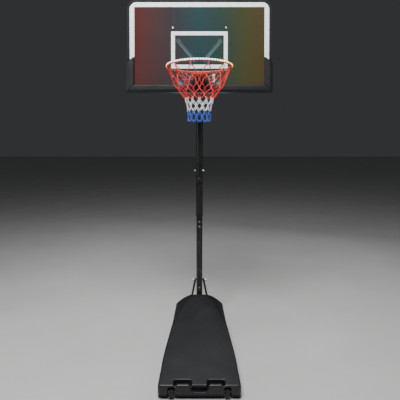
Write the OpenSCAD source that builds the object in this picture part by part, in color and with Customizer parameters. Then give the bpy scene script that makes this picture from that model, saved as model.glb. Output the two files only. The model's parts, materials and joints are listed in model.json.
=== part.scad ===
// Portable basketball hoop: ballast tank with wheels, telescoping pole, board and sprung ring.
// The origin is on the floor under the pole. +Z is up, and the court side is -Y.

/* [Height] */
// Top of the ring above the floor, at the lowest setting
rim_height = 2342; // [2330:1:2360]
// Travel of the upper pole from the lowest to the highest setting
height_travel = 706; // [300:2:720]

/* [Ring] */
// Inner diameter of the ring
ring_inner_d = 450; // [440:1:460]
// Diameter of the ring's steel rod
ring_rod_d = 16; // [14:1:18]
// Distance from the face of the board to the ring's centre
ring_reach = 390; // [380:1:400]
// Number of net hooks
hook_count = 12; // [8:1:16]

/* [Board] */
// Width of the clear panel
panel_w = 1196; // [1150:2:1230]
// Height of the clear panel
panel_h = 754; // [740:2:760]
// Thickness of the clear panel
panel_t = 4; // [3:0.5:6]
// Width of the white border line
border_line = 38; // [34:1:52]
// Outer width of the target rectangle
target_w = 470; // [450:1:600]
// Outer height of the target rectangle
target_h = 306; // [290:1:340]
// Distance from the pole's axis to the face of the board
board_reach = 400; // [395:1:410]
// Section of the square frame tubes
frame_tube = 25; // [20:1:26]

/* [Pole] */
// Outer diameter of the lower and middle pole
inner_pole_d = 57; // [56:0.5:57]
// Outer diameter of the upper pole
upper_pole_d = 63.5; // [63.5:0.5:65]
// Wall of the poles
pole_wall = 2; // [1.5:0.1:2]

/* [Tank] */
// Width of the tank at its side lip
tank_w = 578; // [560:2:600]
// Height of the ridge
tank_ridge_h = 372; // [365:1:376]
// Radius of the wheels
wheel_r = 40; // [36:1:42]
// Width of the wheels
wheel_w = 36; // [30:1:40]

/* [Hidden] */
$fn = 64;

eps = 0.02;          // overshoot of a cut past the face it opens
fit = 0.08;          // radial clearance of a running fit
bolt_gap = 0.15;     // radial clearance of a fixed bolt in its hole

// tank
tank_front = -1040;
tank_rear = 280;
tank_lip_h = 109;
deck_h = 150;
taper_y = -900;      // the sides draw in from here to the waist
waist_y = -450;
pole_seat_h = 40;
wheel_x = 194;
wheel_y = -1003;
wheel_z = wheel_r + 4;
axle_r = 5;
well_half = wheel_w / 2 + 5;
well_rear = wheel_y + wheel_r + 12;
well_top = wheel_z + wheel_r + 10;
cap_at = [-150, 110];
neck_r = 24.1;

// poles
inner_r = inner_pole_d / 2;
upper_r = upper_pole_d / 2;
upper_bore = upper_r - pole_wall;
seam_h = 1060;
spigot = 110;
inner_top = 2200;
upper_bottom = 1100;
upper_top = 2600;
lock_h = 1515;
screw_h = 1445;
boss_end = 44;
strut_bolt_h = 479;
foot_screw_h = 416;
strut_r = 10;
strut_foot = [95, 222, 140];

// board
board_y = -board_reach;
panel_rear = board_y + panel_t;
panel_top = 2960;
panel_bottom = panel_top - panel_h;
corner_r = 75;
trim_t = 3;
film_t = 0.6;
film_edge = 18;
frame_rear = panel_rear + frame_tube;
upright_x = 215;
panel_screw_x = upright_x + 6;
target_bottom = 2396;
target_line = 31;
pad_front = board_y - 24;
pad_inner = 541;
pad_outer = 611;
pad_bottom_z = 2194;
pad_top_z = 2260;
pad_slope = 24;                               // the outer edges slope back over this width
pad_drop = 14;                                // and by this depth
pad_mitre = pad_outer - (pad_top_z - pad_bottom_z);
pad_side_low = 2442;
pad_side_high = 2492;

// arms
arm_w = 22;
arm_pole_y = -45;
arm_board_y = -345;
arm_pole_x = 48;
arm_board_x = 186;
arm_heights = [[2545, 2645], [2262, 2300]];   // at the pole and at the board

// ring
ring_r = ring_inner_d / 2 + ring_rod_d / 2;
rod_r = ring_rod_d / 2;
ring_y = board_y - ring_reach;
ring_z = rim_height - rod_r;
hinge = [-416, rim_height - 10];              // y and z of the ring's hinge
hinge_r = 4;
shelf_z = 2266;                               // top of the spring shelf
spring_at = [28, -455];
yoke_z = rim_height - ring_rod_d;             // top of the yoke's plate
yoke_t = 4;
spring_wire = 1.6;
spring_coil_r = 10;
spring_turns = 6;
hook_r = 8;
hook_wire = 2;
led_t = 3.5;
led_span = [-15, 58];                         // round the rod's section, from outwards towards the top

// net: heights and radii of its outer face, from the hooks down
net_red_line = [[2316, 230], [2268, 210], [2186, 177], [2140, 142], [2106, 108]];
net_white_line = [[2106, 108], [2050, 96], [2009, 84]];
net_blue_line = [[2009, 84], [1960, 88], [1925, 87]];
net_t = 4;

function arc(c, r, a0, a1, n) =
  [for (i = [0:n]) let (a = a0 + (a1 - a0) * i / n) [c[0] + r * cos(a), c[1] + r * sin(a)]];

// outline of the panel in X and Z, grown by g, from the height z0 up
function board_outline(g, z0) = concat(
  [[panel_w / 2 + g, z0]],
  arc([panel_w / 2 - corner_r, panel_top - corner_r], corner_r + g, 0, 90, 10),
  arc([-panel_w / 2 + corner_r, panel_top - corner_r], corner_r + g, 90, 180, 10),
  [[-panel_w / 2 - g, z0]]);

// ---- helpers ----
// a cylinder along X, from x0 to x1
module rod_x(r, x0, x1, y, z) {
  translate([x0, y, z]) rotate([0, 90, 0]) cylinder(r = r, h = x1 - x0);
}

// a cylinder along Y, from y0 to y1
module rod_y(r, y0, y1, x, z) {
  translate([x, y1, z]) rotate([90, 0, 0]) cylinder(r = r, h = y1 - y0);
}

// a six-sided nut or head along X
module hex_x(r, x0, x1, y, z) {
  translate([x0, y, z]) rotate([0, 90, 0]) cylinder(r = r, h = x1 - x0, $fn = 6);
}

// a six-sided nut or head along Y
module hex_y(r, y0, y1, x, z) {
  translate([x, y1, z]) rotate([90, 0, 0]) cylinder(r = r, h = y1 - y0, $fn = 6);
}

module tube(r_out, r_in, z0, z1) {
  translate([0, 0, z0]) difference() {
    cylinder(r = r_out, h = z1 - z0);
    translate([0, 0, -1]) cylinder(r = r_in, h = z1 - z0 + 2);
  }
}

// a box given by its low and high corners
module block(low, high) {
  translate(low) cube(high - low);
}

// a plate: an outline in X and Z, from y0 to y1
module plate_xz(y0, y1) {
  translate([0, y1, 0]) rotate([90, 0, 0]) linear_extrude(y1 - y0) children();
}

// a plate: an outline in Y and Z, from x0 to x1
module plate_yz(x0, x1) {
  translate([x0, 0, 0]) rotate([90, 0, 90]) linear_extrude(x1 - x0) children();
}

// places its children along the line from a to b, +Z on the line and +X close to the world's X
module along(a, b) {
  d = (b - a) / norm(b - a);
  s0 = [1, 0, 0] - d[0] * d;
  s = s0 / norm(s0);
  t = cross(d, s);
  multmatrix([
    [s[0], t[0], d[0], a[0]],
    [s[1], t[1], d[1], a[1]],
    [s[2], t[2], d[2], a[2]]]) children();
}

// a square tube between two corners, open along the axis "x" or "z"
module square_tube(low, high, axis, wall = 2) {
  grow = axis == "x" ? [1, -wall, -wall] : [-wall, -wall, 1];
  difference() {
    block(low, high);
    block(low - grow, high + grow);
  }
}

module both_sides() {
  children();
  mirror([1, 0, 0]) children();
}

// ---- tank, wheels and cap ----
module tank_profile_side() {
  plate_yz(-tank_w, tank_w) polygon([
    [tank_front + 34, 0], [tank_front + 34, 36], [tank_front + 6, 42], [tank_front, 48], [tank_front, 101],
    [tank_front + 3, 107], [tank_front + 8, 110], [-190, tank_ridge_h - 23],
    [-150, tank_ridge_h - 10], [-115, tank_ridge_h - 1], [-90, tank_ridge_h],
    [-70, tank_ridge_h - 6], [-60, tank_ridge_h - 20], [-50, deck_h],
    [tank_rear - 12, deck_h], [tank_rear, deck_h - 12], [tank_rear, 0]]);
}

module tank_profile_front() {
  // how far each height stands in from the widest line
  inset = [[0, 0], [0, 98], [3, 104], [7, 110], [12, 150], [21, 181], [39, 224], [59, 262],
    [86, 290], [119, 316], [155, 340], [191, 358], [229, tank_ridge_h + 1]];
  plate_xz(tank_front - 1, tank_rear + 1) polygon(concat(
    [for (p = inset) [tank_w / 2 - p[0], p[1]]],
    [for (i = [len(inset) - 1:-1:0]) [inset[i][0] - tank_w / 2, inset[i][1]]]));
}

module tank_profile_top() {
  front_half = tank_w / 2;
  waist_half = tank_w / 2 - 62;
  rear_half = tank_w / 2 - 82;
  linear_extrude(tank_ridge_h + 1) polygon(concat(
    arc([front_half - 24, tank_front + 24], 24, 0, -90, 6),
    arc([24 - front_half, tank_front + 24], 24, -90, -180, 6),
    [[-front_half, taper_y], [-waist_half, waist_y]],
    arc([60 - rear_half, tank_rear - 60], 60, 180, 90, 8),
    arc([rear_half - 60, tank_rear - 60], 60, 90, 0, 8),
    [[waist_half, waist_y], [front_half, taper_y]]));
}

// the recess under the middle of the front edge, narrower and round at its foot
module front_scoop() {
  edge = [[68, 104], [67, 92], [63, 80], [55, 70], [44, 63.5], [30, 61]];
  n = len(edge);
  plate_xz(tank_front - 1, tank_front + 34)
    polygon(concat(edge, [for (i = [n - 1:-1:0]) [-edge[i][0], edge[i][1]]]));
}

// a grip pocket behind the front edge, with a notch through the edge at each of its ends
module grip_pocket() {
  block([55, tank_front + 24, 72], [176, tank_front + 50, 150]);
  block([55, tank_front - 1, 100], [67, tank_front + 25, 150]);
  block([159, tank_front - 1, 100], [176, tank_front + 25, 150]);
}

module ballast_tank() {
  color([0.13, 0.13, 0.14]) difference() {
    union() {
      intersection() {
        tank_profile_side();
        tank_profile_front();
        tank_profile_top();
      }
      translate([cap_at[0], cap_at[1], deck_h - 1]) cylinder(r = 32, h = 9);
    }
    front_scoop();
    both_sides() {
      grip_pocket();
      block([wheel_x - well_half, tank_front - 1, -1], [wheel_x + well_half, well_rear, well_top]);
      rod_x(axle_r + eps, wheel_x - well_half - 12, wheel_x + well_half + 12, wheel_y, wheel_z);
      translate([92, 242, deck_h - 30]) cylinder(r = 4 + bolt_gap, h = 31);
    }
    translate([0, 0, pole_seat_h]) cylinder(r = inner_r + 0.3, h = 200);
    translate([cap_at[0], cap_at[1], deck_h - 30]) cylinder(r = neck_r, h = 60);
  }
}

module wheel_axles() {
  color([0.5, 0.5, 0.52]) for (side = [-1, 1])
    rod_x(axle_r, side * wheel_x - well_half - 11, side * wheel_x + well_half + 11, wheel_y, wheel_z);
}

module wheel(side) {
  half = wheel_w / 2;
  translate([side * wheel_x, wheel_y, wheel_z]) rotate([0, 90, 0]) rotate_extrude($fn = 96)
    polygon([[axle_r + fit, -half], [14, -half], [16, 3 - half], [wheel_r - 8, 3 - half],
      [wheel_r - 6, -half + 1], [wheel_r - 2, -half + 3], [wheel_r, -half + 6],
      [wheel_r, -6], [wheel_r - 4.5, -4.5], [wheel_r - 4.5, 4.5], [wheel_r, 6],
      [wheel_r, half - 6], [wheel_r - 2, half - 3], [wheel_r - 6, half - 1],
      [wheel_r - 8, half - 3], [16, half - 3], [14, half], [axle_r + fit, half]]);
}

module wheel_left() {
  color([0.16, 0.16, 0.17]) wheel(-1);
}

module wheel_right() {
  color([0.16, 0.16, 0.17]) wheel(1);
}

module fill_cap() {
  color([0.1, 0.1, 0.11]) translate([cap_at[0], cap_at[1], 0]) {
    translate([0, 0, deck_h - 24]) cylinder(r = neck_r - fit, h = 33);
    translate([0, 0, deck_h + 8.5]) cylinder(r = 35, h = 11);
    translate([-30, -4, deck_h + 19]) cube([60, 8, 9]);
  }
}

// ---- lower and middle pole ----
module joint_screw_holes(r) {
  for (z = [994, 1038]) rod_y(r, -inner_r - 1, 0, 0, z);
}

module lower_pole() {
  color([0.1, 0.1, 0.11]) difference() {
    tube(inner_r, inner_r - pole_wall, pole_seat_h, seam_h);
    joint_screw_holes(4 + bolt_gap);
    rod_y(4 + bolt_gap, -inner_r - 1, 0, 0, foot_screw_h);
    rod_x(5 + bolt_gap, -inner_r - 1, inner_r + 1, 0, strut_bolt_h);
  }
}

module middle_pole() {
  spigot_r = inner_r - pole_wall - 0.05;
  color([0.1, 0.1, 0.11]) difference() {
    union() {
      tube(inner_r, inner_r - pole_wall, seam_h, inner_top);
      tube(spigot_r, spigot_r - pole_wall, seam_h - spigot, seam_h + 6);
      tube(inner_r - 1, spigot_r - pole_wall, seam_h, seam_h + 6);
    }
    joint_screw_holes(4 + bolt_gap);
  }
}

module inner_pole_plug() {
  color([0.08, 0.08, 0.08]) {
    translate([0, 0, inner_top - 20]) cylinder(r = inner_r - pole_wall - 0.05, h = 20);
    translate([0, 0, inner_top]) cylinder(r = inner_r - 0.2, h = 4);
  }
}

// a pan-head screw that enters from the front of a pole of radius r
module pole_screw(r, z, depth, shank, head) {
  rod_y(shank, -r - 1, -r + depth, 0, z);
  rod_y(head, -r - 5, -r, 0, z);
}

module pole_joint_screws() {
  color([0.75, 0.75, 0.77]) {
    pole_screw(inner_r, 994, 12, 4, 7.5);
    pole_screw(inner_r, 1038, 12, 4, 7.5);
    pole_screw(inner_r, foot_screw_h, 12, 4, 6.5);
  }
}

// ---- struts ----
module strut(side) {
  bolt_at = [side * 40, 0, strut_bolt_h];
  foot = [side * strut_foot[0], strut_foot[1], strut_foot[2]];
  d = (foot - bolt_at) / norm(foot - bolt_at);
  difference() {
    union() {
      difference() {
        along(bolt_at - 16 * d, foot) cylinder(r = strut_r, h = norm(foot - bolt_at) + 16);
        block([-200, 0, 0], [200, 400, deck_h + 2]);
      }
      block([side * 92 - 20, 190, deck_h], [side * 92 + 20, 256, deck_h + 5]);
    }
    rod_x(5 + bolt_gap, side * 40 - 30, side * 40 + 30, 0, strut_bolt_h);
    translate([side * 92, 242, deck_h - 1]) cylinder(r = 4 + bolt_gap, h = 8);
  }
}

module strut_left() {
  color([0.3, 0.3, 0.32]) strut(-1);
}

module strut_right() {
  color([0.3, 0.3, 0.32]) strut(1);
}

module strut_bolt() {
  color([0.75, 0.75, 0.77]) {
    rod_x(5, -66, 66, 0, strut_bolt_h);
    for (side = [-1, 1]) hex_x(10, side * 56 - 4, side * 56 + 4, 0, strut_bolt_h);
  }
}

module strut_foot_bolts() {
  color([0.75, 0.75, 0.77]) both_sides() translate([92, 242, 0]) {
    translate([0, 0, deck_h - 24]) cylinder(r = 4, h = 30);
    translate([0, 0, deck_h + 5]) cylinder(r = 7.5, h = 5, $fn = 6);
  }
}

// ---- upper pole ----
module upper_pole() {
  color([0.1, 0.1, 0.11]) difference() {
    tube(upper_r, upper_bore, upper_bottom, upper_top);
    rod_y(5 + 0.3, 0, upper_r + 1, 0, lock_h);
    rod_y(3 + bolt_gap, -upper_r - 1, 0, 0, screw_h);
    for (h = arm_heights) rod_x(5 + bolt_gap, -upper_r - 1, upper_r + 1, 0, h[0]);
  }
}

module pole_top_cap() {
  color([0.08, 0.08, 0.08]) {
    translate([0, 0, upper_top - 20]) cylinder(r = upper_bore - 0.05, h = 20);
    translate([0, 0, upper_top]) rotate_extrude()
      polygon([[0, 0], [upper_r + 1, 0], [upper_r + 1, 6], [upper_r - 2, 9], [0, 11]]);
  }
}

module glide_bushes() {
  color([0.08, 0.08, 0.08]) {
    tube(upper_bore - 0.03, inner_r + fit, upper_bottom, upper_bottom + 80);
    tube(upper_r + 2.5, inner_r + fit, upper_bottom - 7, upper_bottom);
    difference() {
      tube(upper_bore - 0.03, inner_r + fit, screw_h - 20, screw_h + 20);
      rod_y(3 + bolt_gap, -upper_r, 0, 0, screw_h);
    }
  }
}

module lock_boss() {
  color([0.1, 0.1, 0.11]) difference() {
    rod_y(12, upper_r - 5, boss_end, 0, lock_h);
    translate([0, 0, lock_h - 20]) cylinder(r = upper_r, h = 40);
    rod_y(5 + fit, 0, boss_end + 1, 0, lock_h);
  }
}

// the clamp screw with its T handle
module lock_knob() {
  color([0.6, 0.6, 0.62]) {
    rod_y(5, inner_r + 0.4, boss_end + 4, 0, lock_h);
    rod_y(14, boss_end + 0.5, boss_end + 20, 0, lock_h);
    rod_x(6, -44, 44, boss_end + 11, lock_h);
    for (side = [-1, 1]) translate([side * 44, boss_end + 11, lock_h]) sphere(r = 7);
  }
}

module retaining_screw() {
  color([0.75, 0.75, 0.77]) pole_screw(upper_r, screw_h, 2.9, 3, 6);
}

// ---- arms between the pole and the board ----
module pole_bracket(z) {
  difference() {
    union() {
      for (side = [-1, 1]) block([side * 34.25 - 2, -68, z - 28], [side * 34.25 + 2, 24, z + 28]);
      block([-36.25, -72, z - 28], [36.25, -67.9, z + 28]);
    }
    rod_x(5 + bolt_gap, -40, 40, 0, z);
    rod_x(5 + bolt_gap, -40, 40, arm_pole_y, z);
  }
}

module pole_brackets() {
  color([0.12, 0.12, 0.13]) for (h = arm_heights) pole_bracket(h[0]);
}

module pole_bracket_bolts() {
  color([0.7, 0.7, 0.72]) for (h = arm_heights) {
    rod_x(5, -45, 45, 0, h[0]);
    for (side = [-1, 1]) hex_x(8.5, side * 39.6 - 3, side * 39.6 + 3, 0, h[0]);
  }
}

// a square tube from the pole bracket to the board's lug, with a bolt hole across each end
module arm(side, h) {
  a = [side * arm_pole_x, arm_pole_y, h[0]];
  b = [side * arm_board_x, arm_board_y, h[1]];
  d = (b - a) / norm(b - a);
  length = norm(b - a) + 26;
  difference() {
    along(a - 13 * d, b) difference() {
      translate([-arm_w / 2, -arm_w / 2, 0]) cube([arm_w, arm_w, length]);
      translate([2 - arm_w / 2, 2 - arm_w / 2, -1]) cube([arm_w - 4, arm_w - 4, length + 2]);
    }
    rod_x(5 + bolt_gap, side * arm_pole_x - 30, side * arm_pole_x + 30, arm_pole_y, h[0]);
    rod_x(5 + bolt_gap, side * arm_board_x - 30, side * arm_board_x + 30, arm_board_y, h[1]);
    block([-36.5, -100, h[0] - 60], [36.5, 20, h[0] + 60]);
    for (far = [-1, 1])
      block([far * 217.8 - 20, -400, h[1] - 60], [far * 217.8 + 20, -280, h[1] + 60]);
  }
}

module arm_upper_left() {
  color([0.3, 0.33, 0.35]) arm(-1, arm_heights[0]);
}

module arm_upper_right() {
  color([0.3, 0.33, 0.35]) arm(1, arm_heights[0]);
}

module arm_lower_left() {
  color([0.3, 0.33, 0.35]) arm(-1, arm_heights[1]);
}

module arm_lower_right() {
  color([0.3, 0.33, 0.35]) arm(1, arm_heights[1]);
}

module arm_bolts() {
  color([0.7, 0.7, 0.72]) for (h = arm_heights) {
    rod_x(5, -70, 70, arm_pole_y, h[0]);
    for (side = [-1, 1]) {
      hex_x(8.5, side * 67 - 3, side * 67 + 3, arm_pole_y, h[0]);
      rod_x(5, side * 182 - 19, side * 182 + 19, arm_board_y, h[1]);
      hex_x(8.5, side * 164 - 3, side * 164 + 3, arm_board_y, h[1]);
    }
  }
}

module board_lugs() {
  color([0.12, 0.12, 0.13]) for (side = [-1, 1], h = arm_heights) difference() {
    block([side * 200 - 2, panel_rear + 2, h[1] - 26], [side * 200 + 2, arm_board_y + 16, h[1] + 26]);
    rod_x(5 + bolt_gap, side * 200 - 5, side * 200 + 5, arm_board_y, h[1]);
  }
}

// ---- board frame ----
stile_x = panel_w / 2 - 3;

module frame_top_rail() {
  z1 = panel_top - 5;
  color([0.1, 0.1, 0.11]) {
    square_tube([-545, panel_rear, z1 - frame_tube], [545, frame_rear, z1], "x");
  }
}

module frame_bottom_rail() {
  half = stile_x - frame_tube;
  z0 = panel_bottom + 9;
  color([0.1, 0.1, 0.11]) square_tube([-half, panel_rear, z0], [half, frame_rear, z0 + frame_tube], "x");
}

// a side tube, with a slanting bar that carries it round the panel's corner to the top rail
module stile(side) {
  z0 = panel_bottom + 9;
  z1 = panel_top - 80;
  top = panel_top - 5;
  low_x = min(side * stile_x, side * (stile_x - frame_tube));
  square_tube([low_x, panel_rear, z0], [low_x + frame_tube, frame_rear, z1], "z");
  plate_xz(panel_rear, frame_rear) polygon([[side * stile_x, z1], [side * (stile_x - frame_tube), z1],
    [side * 545, top - frame_tube], [side * 545, top]]);
}

module frame_left_stile() {
  color([0.1, 0.1, 0.11]) stile(-1);
}

module frame_right_stile() {
  color([0.1, 0.1, 0.11]) stile(1);
}

module upright(side) {
  x = side * upright_x;
  z0 = panel_bottom + 9 + frame_tube;
  z1 = panel_top - 5 - frame_tube;
  difference() {
    square_tube([x - 13, panel_rear + 2, z0], [x + 13, frame_rear + 2, z1], "z");
    for (z = screw_heights) rod_y(3 + bolt_gap, panel_rear, panel_rear + 8, side * panel_screw_x, z);
  }
}

screw_heights = [2734, 2330];

module frame_left_upright() {
  color([0.2, 0.22, 0.23]) upright(-1);
}

module frame_right_upright() {
  color([0.2, 0.22, 0.23]) upright(1);
}

module frame_cross_rail() {
  y0 = panel_rear + 4;
  color([0.1, 0.1, 0.11])
    square_tube([-upright_x + 17, y0, 2290], [upright_x - 17, y0 + frame_tube, 2290 + frame_tube], "x");
}

// ---- panel, lines, trim and pads ----
module panel() {
  color([0.25, 0.27, 0.28, 0.8]) difference() {
    plate_xz(board_y, panel_rear) polygon(board_outline(0, panel_bottom));
    for (side = [-1, 1], z = screw_heights)
      rod_y(3 + bolt_gap, board_y - 1, panel_rear + 1, side * panel_screw_x, z);
    rim_bolt_holes();
  }
}

module border_lines() {
  grow = -film_edge;
  color([0.93, 0.93, 0.93]) plate_xz(board_y - film_t, board_y) difference() {
    polygon(board_outline(grow, pad_side_low - 40));
    translate([border_line - panel_w / 2 - grow, 0])
      square([panel_w + 2 * (grow - border_line), panel_top + grow - border_line]);
    for (side = [-1, 1]) polygon([[side * pad_outer, 0], [side * pad_outer, pad_side_low],
      [side * (pad_inner - 14), pad_side_high + 10], [side * (pad_inner - 14), 0]]);
  }
}

module target_rectangle() {
  color([0.93, 0.93, 0.93]) plate_xz(board_y - film_t, board_y) difference() {
    translate([-target_w / 2, target_bottom]) square([target_w, target_h]);
    translate([target_line - target_w / 2, target_bottom + target_line])
      square([target_w - 2 * target_line, target_h - 2 * target_line]);
  }
}

// an angle strip round the top and the sides of the panel, down to the pads
module edge_trim() {
  z0 = pad_side_high - 20;
  color([0.06, 0.06, 0.06]) {
    plate_xz(board_y, board_y + 12) difference() {
      polygon(board_outline(trim_t, z0));
      polygon(board_outline(0.05, z0 - 1));
    }
    plate_xz(board_y - 2.5, board_y) difference() {
      polygon(board_outline(trim_t, z0));
      polygon(board_outline(-14, z0 - 1));
    }
  }
}

// a side pad: a front slab with bevelled edges and a flange round the panel's edge
module side_pad(side) {
  outer = side * pad_outer;
  inner = side * pad_inner;
  intersection() {
    linear_extrude(pad_side_high + 10) polygon([
      [inner, board_y], [inner, pad_front + 9], [inner + side * 9, pad_front],
      [outer - side * pad_slope, pad_front], [outer, pad_front + pad_drop], [outer, frame_rear],
      [outer - side * 10, frame_rear], [outer - side * 10, board_y]]);
    plate_xz(pad_front - 1, frame_rear + 1) polygon([[inner, pad_top_z], [side * pad_mitre, pad_top_z],
      [outer, pad_bottom_z], [outer, pad_side_low], [outer - side * 12, pad_side_low + 8],
      [inner, pad_side_high]]);
  }
}

module pad_left() {
  color([0.2, 0.2, 0.21]) side_pad(-1);
}

module pad_right() {
  color([0.2, 0.2, 0.21]) side_pad(1);
}

module pad_bottom() {
  color([0.2, 0.2, 0.21]) intersection() {
    plate_yz(-pad_outer, pad_outer) polygon([
      [board_y, pad_top_z], [pad_front + 9, pad_top_z], [pad_front, pad_top_z - 9],
      [pad_front, pad_bottom_z + pad_slope], [pad_front + pad_drop, pad_bottom_z],
      [frame_rear, pad_bottom_z], [frame_rear, panel_bottom - 1], [board_y, panel_bottom - 1]]);
    plate_xz(pad_front - 1, frame_rear + 1) polygon([[-pad_mitre, pad_top_z], [pad_mitre, pad_top_z],
      [pad_outer, pad_bottom_z], [-pad_outer, pad_bottom_z]]);
  }
}

module panel_screws() {
  color([0.6, 0.6, 0.62]) for (side = [-1, 1], z = screw_heights) {
    rod_y(3, board_y - 1, panel_rear + 7, side * panel_screw_x, z);
    rod_y(7, board_y - 3.5, board_y, side * panel_screw_x, z);
  }
}

// ---- ring mounting ----
rim_bolt_x = 32;
rim_bolt_z = [2276, 2330];

module rim_bolt_holes() {
  for (side = [-1, 1], z = rim_bolt_z)
    rod_y(4 + bolt_gap, board_y - 10, panel_rear + 10, side * rim_bolt_x, z);
}

module rim_backing_plate() {
  color([0.12, 0.12, 0.13]) difference() {
    block([-75, panel_rear, 2258], [75, panel_rear + 4, 2354]);
    rim_bolt_holes();
  }
}

// the fixed bracket: back plate, spring shelf with its gussets, and the hinge ears
module rim_bracket() {
  y0 = board_y - 4;
  color([0.12, 0.12, 0.13]) difference() {
    union() {
      block([-62, y0, shelf_z - 4], [62, board_y, hinge[1] + 20]);
      block([-45, y0 - 66, shelf_z - 4], [45, y0 + 1, shelf_z]);
      for (side = [-1, 1]) {
        plate_yz(side * 43 - 2, side * 43 + 2)
          polygon([[y0 + 1, shelf_z - 1], [y0 + 1, shelf_z + 34],
            [y0 - 10, shelf_z + 34], [y0 - 66, shelf_z - 1]]);
        block([side * 60 - 2, y0 - 26, hinge[1] - 22], [side * 60 + 2, y0 + 1, hinge[1] + 20]);
      }
    }
    rod_x(hinge_r + eps, -70, 70, hinge[0], hinge[1]);
    rim_bolt_holes();
    for (side = [-1, 1]) translate([side * spring_at[0], spring_at[1], shelf_z - 10])
      cylinder(r = 4 + bolt_gap, h = 20);
  }
}

module rim_hinge_pin() {
  color([0.75, 0.75, 0.77]) {
    rod_x(hinge_r, -66, 66, hinge[0], hinge[1]);
    for (side = [-1, 1]) rod_x(7, side * 64 - 1.9, side * 64 + 1.9, hinge[0], hinge[1]);
  }
}

module rim_mount_bolts() {
  nut_y = panel_rear + 4;
  color([0.75, 0.75, 0.77]) for (side = [-1, 1], z = rim_bolt_z) {
    rod_y(4, board_y - 5, nut_y + 8, side * rim_bolt_x, z);
    hex_y(7.5, board_y - 9, board_y - 4, side * rim_bolt_x, z);
    hex_y(7.5, nut_y, nut_y + 6, side * rim_bolt_x, z);
  }
}

module rim_spring_bolts() {
  color([0.8, 0.8, 0.82]) for (side = [-1, 1]) translate([side * spring_at[0], spring_at[1], 0]) {
    translate([0, 0, shelf_z - 14]) cylinder(r = 4, h = yoke_z - shelf_z + 16);
    translate([0, 0, yoke_z + 0.4]) cylinder(r = 8, h = 6, $fn = 6);
    translate([0, 0, shelf_z - 11]) cylinder(r = 7.5, h = 7, $fn = 6);
  }
}

// a coil spring with closed ends, swept as one closed surface
module coil_spring(height) {
  sides = 8;
  steps = 16 * spring_turns;
  base = spring_wire;
  rise = height - 2 * spring_wire;
  points = [for (i = [0:steps], k = [0:sides - 1])
    let (a = 360 * i * spring_turns / steps, t = i / steps,
         w = t < 0.12 ? 0 : t > 0.88 ? 1 : (t - 0.12) / 0.76,
         b = 360 * k / sides, r = spring_coil_r + spring_wire * cos(b))
      [r * cos(a), r * sin(a), base + rise * w + spring_wire * sin(b) + 2 * spring_wire * (t < 0.12
        ? t / 0.12 : t > 0.88 ? (t - 1) / 0.12 : 1 - 2 * w)]];
  faces = concat(
    [[for (k = [0:sides - 1]) k]],
    [for (i = [0:steps - 1], k = [0:sides - 1]) let (n = (k + 1) % sides)
      [i * sides + k, (i + 1) * sides + k, (i + 1) * sides + n, i * sides + n]],
    [[for (k = [sides - 1:-1:0]) steps * sides + k]]);
  polyhedron(points, faces, convexity = 8);
}

module rim_springs() {
  color([0.85, 0.85, 0.87]) for (side = [-1, 1])
    translate([side * spring_at[0], spring_at[1], shelf_z + 0.1])
      coil_spring(yoke_z - yoke_t - shelf_z - 0.2);
}

// the moving yoke: a plate under the ring with two cheeks that hang on the hinge pin
module rim_yoke() {
  top = yoke_z;
  color([0.75, 0.3, 0.14]) difference() {
    union() {
      block([-54, -572, top - yoke_t], [54, -432, top]);
      for (side = [-1, 1]) {
        plate_yz(side * 52 - 2, side * 52 + 2) polygon([[-550, top - 2], [-436, top - 2],
          [-426, top + 12], [hinge[0] - 4, hinge[1] + 10], [hinge[0] + 8, hinge[1] - 8],
          [-430, top - 46], [-470, top - 40]]);
        rod_x(11, side * 52 - 2, side * 52 + 2, hinge[0], hinge[1]);
      }
    }
    rod_x(hinge_r + fit, -70, 70, hinge[0], hinge[1]);
    for (side = [-1, 1]) {
      block([side * spring_at[0] - 5.5, -464, top - 10], [side * spring_at[0] + 5.5, -452, top + 5]);
      for (y = [-464, -452]) translate([side * spring_at[0], y, top - 10]) cylinder(r = 5.5, h = 20);
    }
  }
}

module ring_torus(r) {
  translate([0, ring_y, ring_z]) rotate_extrude($fn = 128) translate([ring_r, 0]) circle(r = r, $fn = 32);
}

module rim_ring() {
  color([0.75, 0.3, 0.14]) ring_torus(rod_r);
}

// rods from the yoke's cheeks out to the underside of the ring
module rim_braces() {
  end_x = ring_r * cos(60);
  end_y = ring_y + ring_r * sin(60);
  color([0.75, 0.3, 0.14]) for (side = [-1, 1]) difference() {
    along([side * 50, -450, yoke_z - 30], [side * end_x, end_y, yoke_z - 1])
      cylinder(r = 5, h = norm([end_x - 50, end_y + 450, 29]));
    block([-54, -600, yoke_z - 80], [54, -400, yoke_z + 40]);
    ring_torus(rod_r + 0.05);
  }
}

// wire loops under the ring, which the net hangs from
module net_hooks() {
  color([0.8, 0.35, 0.16]) difference() {
    for (i = [0:hook_count - 1]) translate([0, ring_y, ring_z]) rotate([0, 0, 360 * (i + 0.5) / hook_count])
      translate([ring_r, 0, -rod_r - 2]) rotate([0, 90, 0])
        rotate_extrude($fn = 32) translate([hook_r, 0]) circle(r = hook_wire, $fn = 16);
    ring_torus(rod_r + 0.05);
    block([-56, -600, yoke_z - yoke_t - 0.1], [56, -400, yoke_z + 20]);
  }
}

// light strip bent round the outer upper side of the ring's rod
module led_strip() {
  inner = rod_r + 0.06;
  color([0.9, 0.95, 1]) translate([0, ring_y, ring_z]) rotate_extrude($fn = 128) translate([ring_r, 0])
    polygon(concat(arc([0, 0], inner, led_span[0], led_span[1], 12),
      arc([0, 0], rod_r + led_t, led_span[1], led_span[0], 12)));
}

// one coloured band of the net, as a shell of revolution
module net_band(line) {
  n = len(line);
  translate([0, ring_y, 0]) rotate_extrude($fn = 96) polygon(concat(
    [for (p = line) [p[1], p[0]]],
    [for (i = [n - 1:-1:0]) [line[i][1] - net_t, line[i][0]]]));
}

module net_red() {
  color([0.8, 0.15, 0.15]) net_band(net_red_line);
}

module net_white() {
  color([0.95, 0.95, 0.95]) net_band(net_white_line);
}

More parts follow.
